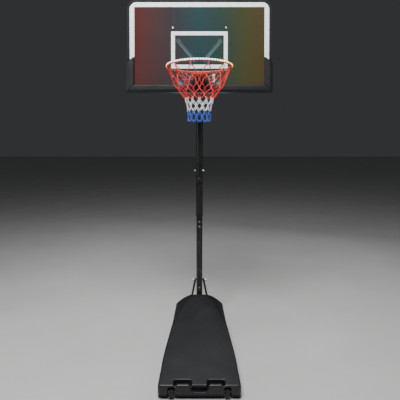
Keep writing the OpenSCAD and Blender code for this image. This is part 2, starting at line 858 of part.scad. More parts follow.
module net_blue() {
  color([0.15, 0.3, 0.8]) net_band(net_blue_line);
}

// ---- light control box on the front of the panel ----
box_low = [108, board_y - 20, 2278];
box_high = [128, board_y, 2345];
button_at = [118, 2328];
button_r = 5;

module light_box() {
  color([0.93, 0.93, 0.93]) difference() {
    block(box_low, box_high);
    rod_y(button_r + 0.4, box_low[1] - 1, box_low[1] + 6, button_at[0], button_at[1]);
  }
}

module light_button() {
  color([0.3, 0.3, 0.32]) rod_y(button_r, box_low[1] - 2.5, box_low[1] + 3.5, button_at[0], button_at[1]);
}

ballast_tank();
wheel_axles();
wheel_left();
wheel_right();
fill_cap();
lower_pole();
middle_pole();
inner_pole_plug();
pole_joint_screws();
strut_left();
strut_right();
strut_bolt();
strut_foot_bolts();
upper_pole();
pole_top_cap();
glide_bushes();
lock_boss();
lock_knob();
retaining_screw();
pole_brackets();
pole_bracket_bolts();
arm_upper_left();
arm_upper_right();
arm_lower_left();
arm_lower_right();
arm_bolts();
board_lugs();
frame_top_rail();
frame_bottom_rail();
frame_left_stile();
frame_right_stile();
frame_left_upright();
frame_right_upright();
frame_cross_rail();
panel();
border_lines();
target_rectangle();
edge_trim();
pad_left();
pad_right();
pad_bottom();
panel_screws();
rim_backing_plate();
rim_bracket();
rim_hinge_pin();
rim_mount_bolts();
rim_spring_bolts();
rim_springs();
rim_yoke();
rim_ring();
rim_braces();
net_hooks();
led_strip();
net_red();
net_white();
net_blue();
light_box();
light_button();
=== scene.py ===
"""Looks of the portable basketball hoop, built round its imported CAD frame. Units are metres."""

import json
import math

import bmesh
import bpy
from mathutils import Matrix, Vector, noise


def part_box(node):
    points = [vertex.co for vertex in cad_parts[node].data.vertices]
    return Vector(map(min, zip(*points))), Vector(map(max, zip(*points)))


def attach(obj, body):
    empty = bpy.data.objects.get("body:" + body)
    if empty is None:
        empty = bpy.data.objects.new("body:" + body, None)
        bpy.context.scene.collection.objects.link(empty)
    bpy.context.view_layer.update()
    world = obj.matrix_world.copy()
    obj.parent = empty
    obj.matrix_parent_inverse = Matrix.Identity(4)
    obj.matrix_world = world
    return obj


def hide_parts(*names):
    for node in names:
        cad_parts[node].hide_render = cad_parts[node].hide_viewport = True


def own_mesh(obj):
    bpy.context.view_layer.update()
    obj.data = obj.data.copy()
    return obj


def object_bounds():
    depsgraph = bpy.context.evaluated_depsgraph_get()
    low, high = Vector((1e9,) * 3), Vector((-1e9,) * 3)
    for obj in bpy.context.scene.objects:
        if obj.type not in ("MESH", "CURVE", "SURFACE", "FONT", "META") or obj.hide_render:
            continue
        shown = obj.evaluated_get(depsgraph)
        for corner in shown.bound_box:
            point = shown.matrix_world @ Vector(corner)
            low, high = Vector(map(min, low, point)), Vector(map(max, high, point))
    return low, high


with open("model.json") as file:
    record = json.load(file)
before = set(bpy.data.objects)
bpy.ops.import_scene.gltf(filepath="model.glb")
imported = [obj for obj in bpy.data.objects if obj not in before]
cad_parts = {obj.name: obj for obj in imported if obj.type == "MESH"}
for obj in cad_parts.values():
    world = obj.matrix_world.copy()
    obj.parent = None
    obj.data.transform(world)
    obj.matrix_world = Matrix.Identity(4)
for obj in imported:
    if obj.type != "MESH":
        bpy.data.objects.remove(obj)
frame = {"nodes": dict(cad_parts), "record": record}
cad_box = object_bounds()
noise.seed_set(7)

TAU = 2 * math.pi
CAD = frame["nodes"]

# ---------------------------------------------------------------- places, from the frame
ring_low, ring_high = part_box("rim_ring")
ring_centre = (ring_low + ring_high) / 2
rod_r = (ring_high.z - ring_low.z) / 2
ring_r = (ring_high.x - ring_low.x) / 2 - rod_r

# The light strip: how many diodes it has, the degrees round the rod between which it lies, and its thickness.
DIODES = 72
STRIP_LOW, STRIP_HIGH = -14, 57
STRIP_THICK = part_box("led_strip")[1].x - ring_r - rod_r

# The net: heights and radii of the cord's middle at each row of knots, and whether the row stands half a step
# round. RED_ROWS and WHITE_ROWS count the rows from the ring down to each colour's end. The cord's middle lies
# HOOK_BEND above the hooks' lowest point, and the hanging loops end at END_Z and END_R.
ROWS = [(2.210, 0.187, 0.0), (2.150, 0.147, 0.5), (2.095, 0.100, 0.0),
        (2.046, 0.090, 0.5), (2.002, 0.080, 0.0), (1.966, 0.083, 0.5)]
RED_ROWS, WHITE_ROWS = 3, 5
LOOPS = 12
STEP = TAU / LOOPS
CORD_R = 0.0032
HOOK_BEND = 0.0074
HOOK_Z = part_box("net_hooks")[0].z + HOOK_BEND
END_Z, END_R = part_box("net_blue")[0].z + 0.002, 0.084


# ---------------------------------------------------------------- camera, floor and light
def make_camera():
    look_down = 1.5
    data = bpy.data.cameras.new("camera")
    data.sensor_width = 36
    data.lens = 35.05
    data.shift_x = 0.0015
    data.shift_y = -0.110
    camera = bpy.data.objects.new("camera", data)
    bpy.context.scene.collection.objects.link(camera)
    camera.location = (0, -3.666, 1.751)
    camera.rotation_euler = (math.radians(90 - look_down), 0, 0)
    bpy.context.scene.camera = camera


def area_light(name, place, target, size, power, colour=(1, 1, 1), mirrored=True):
    """A soft light that points at the target. One that isn't mirrored stays out of glossy reflections."""
    data = bpy.data.lights.new(name, "AREA")
    data.shape = "RECTANGLE"
    data.size, data.size_y = size
    data.energy = power
    data.color = colour
    light = bpy.data.objects.new(name, data)
    bpy.context.scene.collection.objects.link(light)
    light.visible_camera = False
    light.visible_glossy = mirrored
    light.location = place
    light.rotation_euler = (Vector(target) - Vector(place)).to_track_quat("-Z", "Y").to_euler()


def make_studio():
    world = bpy.data.worlds.new("studio")
    bpy.context.scene.world = world
    world.use_nodes = True
    background = world.node_tree.nodes["Background"]
    background.inputs["Color"].default_value = (0.80, 0.82, 0.86, 1)
    background.inputs["Strength"].default_value = 0.045
    area_light("key", (-0.5, -2.9, 4.9), (0, -0.4, 1.9), (1.8, 1.8), 290)
    area_light("sheen", (0, 0.6, 4.4), (0, -0.9, 0.2), (1.6, 1.0), 22)
    # the light that the ring's diodes throw up on the arms and the panel's frame
    area_light("glow", (0, -0.24, 2.02), (0, -0.2, 2.6), (0.5, 0.16), 2.6, (0.45, 0.95, 1.0))
    # soft light from the sides and from behind
    area_light("left", (-3.4, -0.9, 2.5), (0, -0.4, 2.1), (1.2, 1.8), 22)
    area_light("right", (3.2, -0.6, 1.5), (0, -0.5, 0.6), (1.0, 1.8), 6)
    area_light("back", (1.4, 3.6, 3.2), (0, 0, 1.9), (2.4, 2.0), 28, mirrored=False)

    mesh = bpy.data.meshes.new("floor")
    half = 60
    mesh.from_pydata([(-half, -half, 0), (half, -half, 0), (half, half, 0), (-half, half, 0)],
                     [], [(0, 1, 2, 3)])
    floor = bpy.data.objects.new("floor", mesh)
    bpy.context.scene.collection.objects.link(floor)
    floor.location.z = cad_box[0].z
    mesh.materials.append(plain_floor())


# ---------------------------------------------------------------- material helpers
def new_material(name):
    """The new material, its node tree and its shader."""
    material = bpy.data.materials.new(name)
    material.use_nodes = True
    tree = material.node_tree
    return material, tree, tree.nodes["Principled BSDF"]


def add(tree, kind, **settings):
    node = tree.nodes.new(kind)
    for key, value in settings.items():
        setattr(node, key, value)
    return node


def link(tree, out, into):
    tree.links.new(out, into)


def fill(tree, value, socket):
    """Gives the socket another socket's value, a plain number or a plain colour."""
    if isinstance(value, bpy.types.NodeSocket):
        link(tree, value, socket)
    elif isinstance(value, (int, float)):
        socket.default_value = value
    else:
        socket.default_value = (*value[:3], 1)


def coordinates(tree, kind="Object"):
    return add(tree, "ShaderNodeTexCoord").outputs[kind]


def noise_value(tree, where, scale, detail=4.0, rough=0.55):
    node = add(tree, "ShaderNodeTexNoise")
    node.inputs["Scale"].default_value = scale
    node.inputs["Detail"].default_value = detail
    node.inputs["Roughness"].default_value = rough
    link(tree, where, node.inputs["Vector"])
    return node.outputs["Fac"]


def ramp(tree, factor, stops):
    """A colour ramp with (position, colour) stops."""
    node = add(tree, "ShaderNodeValToRGB")
    elements = node.color_ramp.elements
    while len(elements) < len(stops):
        elements.new(0.5)
    for element, (place, colour) in zip(elements, stops):
        element.position = place
        element.color = (*colour[:3], 1)
    link(tree, factor, node.inputs["Fac"])
    return node.outputs["Color"]


def spread(tree, factor, low, high, from_low=0.3, from_high=0.7):
    """The factor's range stretched to low..high."""
    node = add(tree, "ShaderNodeMapRange")
    node.inputs["From Min"].default_value = from_low
    node.inputs["From Max"].default_value = from_high
    node.inputs["To Min"].default_value = low
    node.inputs["To Max"].default_value = high
    link(tree, factor, node.inputs["Value"])
    return node.outputs["Result"]


def mix(tree, factor, first, second):
    """The first colour towards the second. Each is a socket or a plain colour."""
    colour_a, colour_b, colour_out = 6, 7, 2
    node = add(tree, "ShaderNodeMix", data_type="RGBA", blend_type="MIX")
    fill(tree, factor, node.inputs["Factor"])
    fill(tree, first, node.inputs[colour_a])
    fill(tree, second, node.inputs[colour_b])
    return node.outputs[colour_out]


def math_node(tree, operation, first, second=0.0):
    node = add(tree, "ShaderNodeMath", operation=operation)
    fill(tree, first, node.inputs[0])
    fill(tree, second, node.inputs[1])
    return node.outputs[0]


def parts_of(tree, where):
    """The X, Y and Z of a place, as a node's outputs."""
    node = add(tree, "ShaderNodeSeparateXYZ")
    link(tree, where, node.inputs[0])
    return node.outputs


def bump(tree, shader, height, distance, strength, under=None):
    """Relief from a height, on top of the relief under it. It goes to the shader, if there is one."""
    node = add(tree, "ShaderNodeBump")
    node.inputs["Distance"].default_value = distance
    node.inputs["Strength"].default_value = strength
    link(tree, height, node.inputs["Height"])
    if under is not None:
        link(tree, under, node.inputs["Normal"])
    if shader is not None:
        link(tree, node.outputs["Normal"], shader.inputs["Normal"])
    return node.outputs["Normal"]


def worn_edges(tree, low=0.54, high=0.62):
    """1 on sharp outer edges, 0 elsewhere."""
    geometry = add(tree, "ShaderNodeNewGeometry")
    return spread(tree, geometry.outputs["Pointiness"], 0, 1, low, high)


# ---------------------------------------------------------------- materials, one function for each kind
def plain_floor():
    material, tree, shader = new_material("floor")
    where = coordinates(tree)
    tone = noise_value(tree, where, 1.3, 5)
    link(tree, ramp(tree, tone, [(0.3, (0.62, 0.62, 0.61)), (0.7, (0.68, 0.68, 0.67))]),
         shader.inputs["Base Color"])
    shader.inputs["Roughness"].default_value = 0.75
    bump(tree, shader, noise_value(tree, where, 140, 3), 0.0006, 0.3)
    return material


def moulded_plastic(name, colour, lighter, rough, grain=900.0, grain_depth=0.00006, flow=0.0, gloss=0.5):
    """Moulded plastic: fine grain, slow tone changes, faint flow waves and paler scuffed edges."""
    material, tree, shader = new_material(name)
    where = coordinates(tree)
    tone = noise_value(tree, where, 5, 6)
    base = ramp(tree, tone, [(0.32, colour), (0.7, lighter)])
    dust = spread(tree, noise_value(tree, where, 38, 8, 0.7), 0, 0.16, 0.52, 0.75)
    base = mix(tree, dust, base, [min(1, c * 1.6 + 0.02) for c in lighter])
    base = mix(tree, math_node(tree, "MULTIPLY", worn_edges(tree), 0.35), base,
               [min(1, c * 2.0 + 0.015) for c in lighter])
    link(tree, base, shader.inputs["Base Color"])
    link(tree, spread(tree, noise_value(tree, where, 14, 5), rough - 0.07, rough + 0.09),
         shader.inputs["Roughness"])
    normal = bump(tree, None, noise_value(tree, where, grain, 2), grain_depth, 0.8)
    if flow:
        normal = bump(tree, None, noise_value(tree, where, 9, 3), flow, 0.6, normal)
    link(tree, normal, shader.inputs["Normal"])
    shader.inputs["Specular IOR Level"].default_value = gloss
    return material


def powder_coat(name, colour, lighter, rough, chips=0.0):
    """Powder-coated steel: orange peel, slightly uneven gloss, and bright chips at the edges."""
    material, tree, shader = new_material(name)
    where = coordinates(tree)
    base = ramp(tree, noise_value(tree, where, 7, 5), [(0.3, colour), (0.72, lighter)])
    if chips:
        spots = spread(tree, noise_value(tree, where, 160, 3), 0, 1, 0.60, 0.66)
        edge = math_node(tree, "MULTIPLY", worn_edges(tree, 0.56, 0.66), spots)
        base = mix(tree, math_node(tree, "MULTIPLY", edge, chips), base, (0.32, 0.32, 0.33))
    link(tree, base, shader.inputs["Base Color"])
    link(tree, spread(tree, noise_value(tree, where, 22, 6), rough - 0.06, rough + 0.1),
         shader.inputs["Roughness"])
    shader.inputs["Specular IOR Level"].default_value = 0.35
    shader.inputs["Coat Weight"].default_value = 0.08
    shader.inputs["Coat Roughness"].default_value = 0.25
    normal = bump(tree, None, noise_value(tree, where, 420, 2), 0.00012, 0.5)
    bump(tree, shader, noise_value(tree, where, 60, 2), 0.0002, 0.25, normal)
    return material


def plated_steel(name, colour, darker, rough):
    """Zinc or nickel plate: metal with cloudy tone, fine brushing and dull spots."""
    material, tree, shader = new_material(name)
    where = coordinates(tree)
    base = ramp(tree, noise_value(tree, where, 90, 5), [(0.3, darker), (0.65, colour)])
    stain = spread(tree, noise_value(tree, where, 45, 6), 0, 0.35, 0.55, 0.75)
    base = mix(tree, stain, base, (0.42, 0.38, 0.30))
    link(tree, base, shader.inputs["Base Color"])
    shader.inputs["Metallic"].default_value = 1.0
    link(tree, spread(tree, noise_value(tree, where, 130, 4), rough - 0.08, rough + 0.14),
         shader.inputs["Roughness"])
    bump(tree, shader, noise_value(tree, where, 1500, 2), 0.00002, 0.6)
    return material


def outside_border(tree, place):
    """1 on the panel outside the white border's outline, whose upper corners are round, and 0 inside it."""
    board_corner, board_edge = 0.075, 0.018
    corner = board_corner - board_edge
    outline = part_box("border_lines")[1]
    side = math_node(tree, "SUBTRACT", math_node(tree, "ABSOLUTE", place["X"]), outline.x - corner)
    above = math_node(tree, "SUBTRACT", place["Z"], outline.z - corner)
    side = math_node(tree, "MAXIMUM", side, 0.0)
    above = math_node(tree, "MAXIMUM", above, 0.0)
    squares = math_node(tree, "ADD", math_node(tree, "MULTIPLY", side, side),
                        math_node(tree, "MULTIPLY", above, above))
    return spread(tree, math_node(tree, "SQRT", squares), 0, 1, corner - 0.001, corner + 0.002)


def smoked_panel():
    """Smoked clear sheet, darkest outside its white border.

    Painted light: its base colour is tinted red at its left, cyan behind the ring and gold at its right, where
    the ring's lights fall on it.
    """
    material, tree, shader = new_material("smoked_panel")
    where = coordinates(tree)
    place = parts_of(tree, where)
    # painted light: the ring lights' red, cyan and gold glow, painted into the base colour across the panel
    cloud = math_node(tree, "MULTIPLY", noise_value(tree, where, 2.4, 3), 0.10)
    across = math_node(tree, "ADD", spread(tree, place["X"], 0, 1, -0.6, 0.6), cloud)
    across = math_node(tree, "SUBTRACT", across, 0.05)
    base = ramp(tree, across, [
        (0.05, (0.130, 0.030, 0.027)), (0.20, (0.086, 0.042, 0.042)), (0.33, (0.052, 0.045, 0.052)),
        (0.50, (0.028, 0.078, 0.088)), (0.66, (0.036, 0.072, 0.056)), (0.82, (0.074, 0.078, 0.024)),
        (0.96, (0.096, 0.066, 0.022))])
    haze = spread(tree, noise_value(tree, where, 3.5, 6), 0, 0.12, 0.42, 0.8)
    base = mix(tree, haze, base, (0.10, 0.105, 0.108))
    base = mix(tree, outside_border(tree, place), base, (0.006, 0.006, 0.007))
    link(tree, base, shader.inputs["Base Color"])
    link(tree, spread(tree, noise_value(tree, where, 30, 6, 0.7), 0.02, 0.06), shader.inputs["Roughness"])
    shader.inputs["Alpha"].default_value = 0.46
    shader.inputs["IOR"].default_value = 1.5
    shader.inputs["Specular IOR Level"].default_value = 1.0
    bump(tree, shader, noise_value(tree, where, 2, 1), 0.001, 0.05)
    return material


def printed_line():
    """White screen-printed line, a little uneven and slightly rubbed."""
    material, tree, shader = new_material("white_line")
    where = coordinates(tree)
    base = ramp(tree, noise_value(tree, where, 16, 6),
                [(0.3, (0.82, 0.88, 0.91)), (0.7, (0.90, 0.95, 0.97))])
    rub = spread(tree, noise_value(tree, where, 75, 8, 0.75), 0, 0.2, 0.62, 0.8)
    link(tree, mix(tree, rub, base, (0.55, 0.57, 0.58)), shader.inputs["Base Color"])
    link(tree, spread(tree, noise_value(tree, where, 40, 5), 0.28, 0.45), shader.inputs["Roughness"])
    bump(tree, shader, noise_value(tree, where, 800, 2), 0.00003, 0.5)
    return material


def vinyl():
    """Soft vinyl skin: leather-like grain in cells, and a satin sheen."""
    material, tree, shader = new_material("pad_vinyl")
    where = coordinates(tree)
    base = ramp(tree, noise_value(tree, where, 8, 6),
                [(0.3, (0.012, 0.013, 0.014)), (0.7, (0.020, 0.021, 0.022))])
    dust = spread(tree, noise_value(tree, where, 60, 8, 0.7), 0, 0.12, 0.55, 0.8)
    link(tree, mix(tree, dust, base, (0.08, 0.08, 0.08)), shader.inputs["Base Color"])
    link(tree, spread(tree, noise_value(tree, where, 25, 5), 0.42, 0.6), shader.inputs["Roughness"])
    cells = add(tree, "ShaderNodeTexVoronoi", feature="DISTANCE_TO_EDGE")
    cells.inputs["Scale"].default_value = 420
    link(tree, where, cells.inputs["Vector"])
    shader.inputs["Specular IOR Level"].default_value = 0.22
    normal = bump(tree, None, cells.outputs["Distance"], 0.0003, 0.5)
    bump(tree, shader, noise_value(tree, where, 30, 3), 0.0008, 0.35, normal)
    return material


def lit_strip():
    """The lit strip: a bright dot at each diode, from pink at the left through cyan to gold at the right."""
    material, tree, shader = new_material("light_tube")
    where = coordinates(tree)
    place = parts_of(tree, where)
    across = spread(tree, place["X"], 0, 1, -0.25, 0.25)
    colour = ramp(tree, across, [
        (0.0, (1.0, 0.38, 0.32)), (0.16, (1.0, 0.52, 0.48)), (0.34, (0.74, 0.88, 1.0)),
        (0.52, (0.36, 0.92, 1.0)), (0.68, (0.70, 1.0, 0.86)), (0.84, (1.0, 0.74, 0.26)),
        (1.0, (1.0, 0.52, 0.13))])
    from_centre = math_node(tree, "SUBTRACT", place["Y"], ring_centre.y)
    angle = math_node(tree, "ARCTAN2", from_centre, place["X"])
    wave = math_node(tree, "SINE", math_node(tree, "MULTIPLY", angle, DIODES))
    link(tree, colour, shader.inputs["Emission Color"])
    link(tree, spread(tree, wave, 0.9, 6.0, -0.3, 1.0), shader.inputs["Emission Strength"])
    base = ramp(tree, noise_value(tree, where, 300, 3),
                [(0.3, (0.20, 0.21, 0.22)), (0.7, (0.28, 0.29, 0.30))])
    link(tree, base, shader.inputs["Base Color"])
    shader.inputs["Roughness"].default_value = 0.3
    return material


def cord_fabric(name, dark, light):
    """Braided polyester cord: the braid runs along each cord's own length, and stray fibres dull it. The
    braid's grooves are painted darker as painted shade, with fibre tone on top.
    """
    material, tree, shader = new_material(name)
    strands_round, turns_per_metre = 6, 420
    place = parts_of(tree, coordinates(tree, "UV"))
    around = math_node(tree, "MULTIPLY", place["X"], strands_round * TAU)
    length = math_node(tree, "MULTIPLY", place["Y"], turns_per_metre * TAU)
    one = math_node(tree, "SINE", math_node(tree, "ADD", around, length))
    two = math_node(tree, "SINE", math_node(tree, "SUBTRACT", around, length))
    braid = math_node(tree, "MAXIMUM", one, two)
    fibre = noise_value(tree, coordinates(tree), 2600, 3)
    # painted shade: the braid's grooves between strands are darkened in the colour; the fibre noise adds real
    # tone
    groove_shade_and_fibre_tone = math_node(tree, "ADD", spread(tree, braid, 0.0, 0.75, -1.0, 1.0),
                      math_node(tree, "MULTIPLY", fibre, 0.3))
    link(tree, ramp(tree, groove_shade_and_fibre_tone, [(0.1, dark), (0.9, light)]), shader.inputs["Base Color"])
    link(tree, spread(tree, fibre, 0.72, 0.92), shader.inputs["Roughness"])
    shader.inputs["Sheen Weight"].default_value = 0.35
    shader.inputs["Sheen Roughness"].default_value = 0.4
    normal = bump(tree, None, braid, 0.0004, 0.7)
    bump(tree, shader, fibre, 0.0001, 0.5, normal)
    return material


def smooth_gloss(name, colour, lighter, rough):
    """Smooth moulded plastic with a shine, a little paler at its edges."""
    material, tree, shader = new_material(name)
    where = coordinates(tree)
    base = ramp(tree, noise_value(tree, where, 40, 5), [(0.3, colour), (0.7, lighter)])
    link(tree, mix(tree, math_node(tree, "MULTIPLY", worn_edges(tree), 0.2), base, (0.6, 0.6, 0.6)),
         shader.inputs["Base Color"])
    link(tree, spread(tree, noise_value(tree, where, 90, 4), rough, rough + 0.12), shader.inputs["Roughness"])
    bump(tree, shader, noise_value(tree, where, 1200, 2), 0.00002, 0.5)
    return material


# ---------------------------------------------------------------- mesh helpers
def make_object(name, verts, faces, material, uvs=None):
    mesh = bpy.data.meshes.new(name)
    mesh.from_pydata(verts, [], faces)
    if uvs is not None:
        layer = mesh.uv_layers.new(name="UVMap")
        for loop in mesh.loops:
            layer.data[loop.index].uv = uvs[loop.vertex_index]
    mesh.polygons.foreach_set("use_smooth", [True] * len(mesh.polygons))
    mesh.update()
    mesh.materials.append(material)
    made = bpy.data.objects.new(name, mesh)
    bpy.context.scene.collection.objects.link(made)
    return made


def joined(name, parts, material):
    """One object from lists of (verts, faces) or (verts, faces, uvs)."""
    verts, faces, uvs = [], [], []
    for part in parts:
        start = len(verts)
        verts.extend(part[0])
        faces.extend([[start + i for i in face] for face in part[1]])
        if len(part) > 2:
            uvs.extend(part[2])
    return make_object(name, verts, faces, material, uvs or None)


def sweep(points, radius, sides=10, lobes=0, lobe_depth=0.0, lay=0.02, closed=False, step=None):
    """A tube along points, as verts, faces and UVs.

    With lobes it is a twisted cord: its section has that many bulges, which turn once every lay.
    """
    points = resample(points, step, closed) if step else [Vector(p) for p in points]
    count = len(points)
    tangents = []
    for i in range(count):
        before = points[i - 1] if i or closed else points[i]
        after = points[(i + 1) % count] if i + 1 < count or closed else points[i]
        tangents.append((after - before).normalized())
    normal = tangents[0].orthogonal().normalized()
    frames, along, travelled = [], [], 0.0
    for i in range(count):
        if i:
            normal = (tangents[i - 1].rotation_difference(tangents[i]) @ normal).normalized()
            travelled += (points[i] - points[i - 1]).length
        frames.append(normal.copy())
        along.append(travelled)
    verts, uvs, faces = [], [], []
    for i, point in enumerate(points):
        side = tangents[i].cross(frames[i])
        for k in range(sides):
            a = TAU * k / sides
            r = radius * (1 + lobe_depth * math.cos(lobes * a - TAU * along[i] / lay)) if lobes else radius
            verts.append(point + (frames[i] * math.cos(a) + side * math.sin(a)) * r)
            uvs.append((k / sides, along[i]))
    rings = count if closed else count - 1
    for i in range(rings):
        j = (i + 1) % count
        for k in range(sides):
            n = (k + 1) % sides
            faces.append([i * sides + k, i * sides + n, j * sides + n, j * sides + k])
    if not closed:
        faces.append(list(reversed(range(sides))))
        faces.append([(count - 1) * sides + k for k in range(sides)])
    return verts, faces, uvs


def resample(points, step, closed=False):
    """Points a step apart along the line through the given points."""
    line = [Vector(p) for p in points]
    if closed:
        line.append(line[0])
    lengths = [0.0]
    for a, b in zip(line, line[1:]):
        lengths.append(lengths[-1] + (b - a).length)
    count = max(3, round(lengths[-1] / step))
    made, k = [], 0
    for i in range(count if closed else count + 1):
        target = lengths[-1] * i / count
        while k < len(lengths) - 2 and lengths[k + 1] < target:
            k += 1
        share = (target - lengths[k]) / max(lengths[k + 1] - lengths[k], 1e-9)
        made.append(line[k].lerp(line[k + 1], min(1.0, share)))
    return made


def smooth_line(keys, per_span=8):
    """A Catmull-Rom curve through the keys."""
    keys = [Vector(k) for k in keys]
    padded = [keys[0] * 2 - keys[1], *keys, keys[-1] * 2 - keys[-2]]
    made = []
    for a, b, c, d in zip(padded, padded[1:], padded[2:], padded[3:]):
        for i in range(per_span):
            t = i / per_span
            made.append(0.5 * ((2 * b) + (c - a) * t + (2 * a - 5 * b + 4 * c - d) * t * t
                               + (3 * b - a - 3 * c + d) * t ** 3))
    return [*made, keys[-1]]


def lathe(profile, centre, axis, segments):
    """A solid of revolution. The profile is a closed line of (distance along the axis, radius) pairs."""
    axis = Vector(axis).normalized()
    u = axis.orthogonal().normalized()
    v = axis.cross(u)
    verts, faces = [], []
    for s in range(segments):
        a = TAU * s / segments
        out = u * math.cos(a) + v * math.sin(a)
        for along, radius in profile:
            verts.append(Vector(centre) + axis * along + out * radius)
    n = len(profile)
    for s in range(segments):
        t = (s + 1) % segments
        for k in range(n):
            m = (k + 1) % n
            faces.append([s * n + k, s * n + m, t * n + m, t * n + k])
    return verts, faces


def bevelled_box(low, high, bevel, segments):
    """A box between two corners with rounded edges, as verts and faces."""
    box = bmesh.new()
    bmesh.ops.create_cube(box, size=1)
    low, high = Vector(low), Vector(high)
    for v in box.verts:
        v.co = Vector(((low[i] + high[i]) / 2 + v.co[i] * (high[i] - low[i])) for i in range(3))
    bmesh.ops.bevel(box, geom=box.edges[:], offset=bevel, segments=segments, profile=0.6, affect="EDGES")
    bmesh.ops.recalc_face_normals(box, faces=box.faces)
    box.verts.ensure_lookup_table()
    part = ([v.co.copy() for v in box.verts], [[v.index for v in f.verts] for f in box.faces])
    box.free()
    return part


def apply_modifiers(made):
    """Keeps the shape that the modifiers give and takes them off."""
    depsgraph = bpy.context.evaluated_depsgraph_get()
    mesh = bpy.data.meshes.new_from_object(made.evaluated_get(depsgraph))
    made.modifiers.clear()
    made.data = mesh


def remeshed_copy(node, name, voxel, smoothing, material):
    """A copy of a CAD node with an even mesh and softened edges."""
    copy = bpy.data.objects.new(name, CAD[node].data.copy())
    bpy.context.scene.collection.objects.link(copy)
    remesh = copy.modifiers.new("remesh", "REMESH")
    remesh.mode = "VOXEL"
    remesh.voxel_size = voxel
    soften = copy.modifiers.new("soften", "SMOOTH")
    soften.iterations = smoothing
    soften.factor = 0.5
    apply_modifiers(copy)
    copy.data.materials.clear()
    copy.data.materials.append(material)
    copy.data.polygons.foreach_set("use_smooth", [True] * len(copy.data.polygons))
    return copy


# ---------------------------------------------------------------- scene and materials
make_camera()
make_studio()

MATERIALS = {
    "tank_plastic": moulded_plastic("tank_plastic", (0.010, 0.0105, 0.012), (0.018, 0.019, 0.021), 0.40,
                                    700, 0.00012, 0.0015, 0.4),
    "wheel_plastic": moulded_plastic("wheel_plastic", (0.012, 0.012, 0.013), (0.024, 0.024, 0.026), 0.45,
                                     gloss=0.3),
    "black_plastic": moulded_plastic("black_plastic", (0.006, 0.006, 0.0065), (0.012, 0.012, 0.013), 0.6,
                                     gloss=0.08),
    "grey_plastic": moulded_plastic("grey_plastic", (0.06, 0.06, 0.065), (0.1, 0.1, 0.11), 0.45),
    "white_plastic": smooth_gloss("white_plastic", (0.78, 0.8, 0.81), (0.88, 0.89, 0.9), 0.22),
    "black_steel": powder_coat("black_steel", (0.006, 0.006, 0.007), (0.012, 0.012, 0.013), 0.33, 0.6),
    "strut_steel": powder_coat("strut_steel", (0.04, 0.04, 0.043), (0.07, 0.07, 0.076), 0.34, 0.5),
    # painted light: the arms' pale cyan-grey is partly the ring diodes' glow, painted into their colour
    "arm_steel": powder_coat("arm_steel", (0.42, 0.50, 0.52), (0.56, 0.64, 0.66), 0.38, 0.5),
    "upright_steel": powder_coat("upright_steel", (0.012, 0.013, 0.014), (0.022, 0.024, 0.026), 0.4, 0.5),
    "zinc_steel": plated_steel("zinc_steel", (0.70, 0.71, 0.73), (0.5, 0.5, 0.52), 0.28),
    "spring_steel": plated_steel("spring_steel", (0.82, 0.83, 0.85), (0.62, 0.63, 0.65), 0.18),
    "smoked_panel": smoked_panel(),
    "white_line": printed_line(),
    "pad_vinyl": vinyl(),
    "rim_paint": powder_coat("rim_paint", (0.56, 0.060, 0.026), (0.68, 0.095, 0.045), 0.32, 0.7),
    "light_tube": lit_strip(),
    "net_red": cord_fabric("net_red", (0.40, 0.006, 0.007), (0.86, 0.018, 0.016)),
    "net_white": cord_fabric("net_white", (0.72, 0.73, 0.75), (0.95, 0.95, 0.95)),
    "net_blue": cord_fabric("net_blue", (0.010, 0.035, 0.25), (0.035, 0.12, 0.58)),
}


def dress_cad_nodes():
    """Every CAD node gets its slot's material, but the two uprights get a darker steel than the other arms,
    whose pale cyan-grey is partly painted light from the ring's diodes.
    """
    for part in frame["record"]["subparts"]:
        mesh = CAD[part["node"]].data
        mesh.materials.clear()
        upright = part["node"] in ("frame_left_upright", "frame_right_upright")
        mesh.materials.append(MATERIALS["upright_steel" if upright else part["material_slot"]])


# ---------------------------------------------------------------- tank and wheels
def tank():
    """The blow-moulded tank, with every edge softened."""
    body = remeshed_copy("ballast_tank", "tank_shell", 0.005, 6, MATERIALS["tank_plastic"])
    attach(body, "base")
    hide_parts("ballast_tank")


def wheel(side):
    """A moulded wheel: a tread with one groove and sloping shoulders, a web with ribs, and a hub."""
    node = "wheel_left" if side < 0 else "wheel_right"
    low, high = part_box(node)
    centre = (low + high) / 2
    outer = (high.z - low.z) / 2
    half = (high.x - low.x) / 2
    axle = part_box("wheel_axles")[1].z - centre.z
    rim_in = outer * 0.74
    along = (1, 0, 0)
    groove, groove_depth = 0.006, 0.0045
    shoulder, shoulder_drop = half * 0.22, 0.006
    tread = [(-half, rim_in), (-half, outer - shoulder_drop), (-half + shoulder, outer), (-groove, outer),
             (-groove * 0.8, outer - groove_depth), (groove * 0.8, outer - groove_depth), (groove, outer),
             (half - shoulder, outer), (half, outer - shoulder_drop), (half, rim_in),
             (half - 0.003, rim_in - 0.002), (-half + 0.003, rim_in - 0.002)]
    web_half = half * 0.32
    web = [(-web_half, axle * 1.9), (-web_half, rim_in), (web_half, rim_in), (web_half, axle * 1.9)]
    hub_half, bore = half - 0.001, axle + 0.0002
    hub = [(-hub_half, bore), (-hub_half, axle * 2.0), (-half + 0.003, axle * 2.4),
           (half - 0.003, axle * 2.4), (hub_half, axle * 2.0), (hub_half, bore)]
    parts = [lathe(tread, centre, along, 96), lathe(web, centre, along, 72), lathe(hub, centre, along, 48)]
    ribs, rib_half, rib_inset, rib_bevel = 6, 0.002, 0.004, 0.0006
    rib_low = (-half + rib_inset, -rib_half, axle * 2.2)
    rib_high = (half - rib_inset, rib_half, rim_in)
    for i in range(ribs):
        turn = Matrix.Rotation(TAU * i / ribs, 4, "X")
        verts, faces = bevelled_box(rib_low, rib_high, rib_bevel, 2)
        parts.append(([centre + turn @ v for v in verts], faces))
    made = joined(node + "_moulding", parts, MATERIALS["wheel_plastic"])
    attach(made, node)
    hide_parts(node)


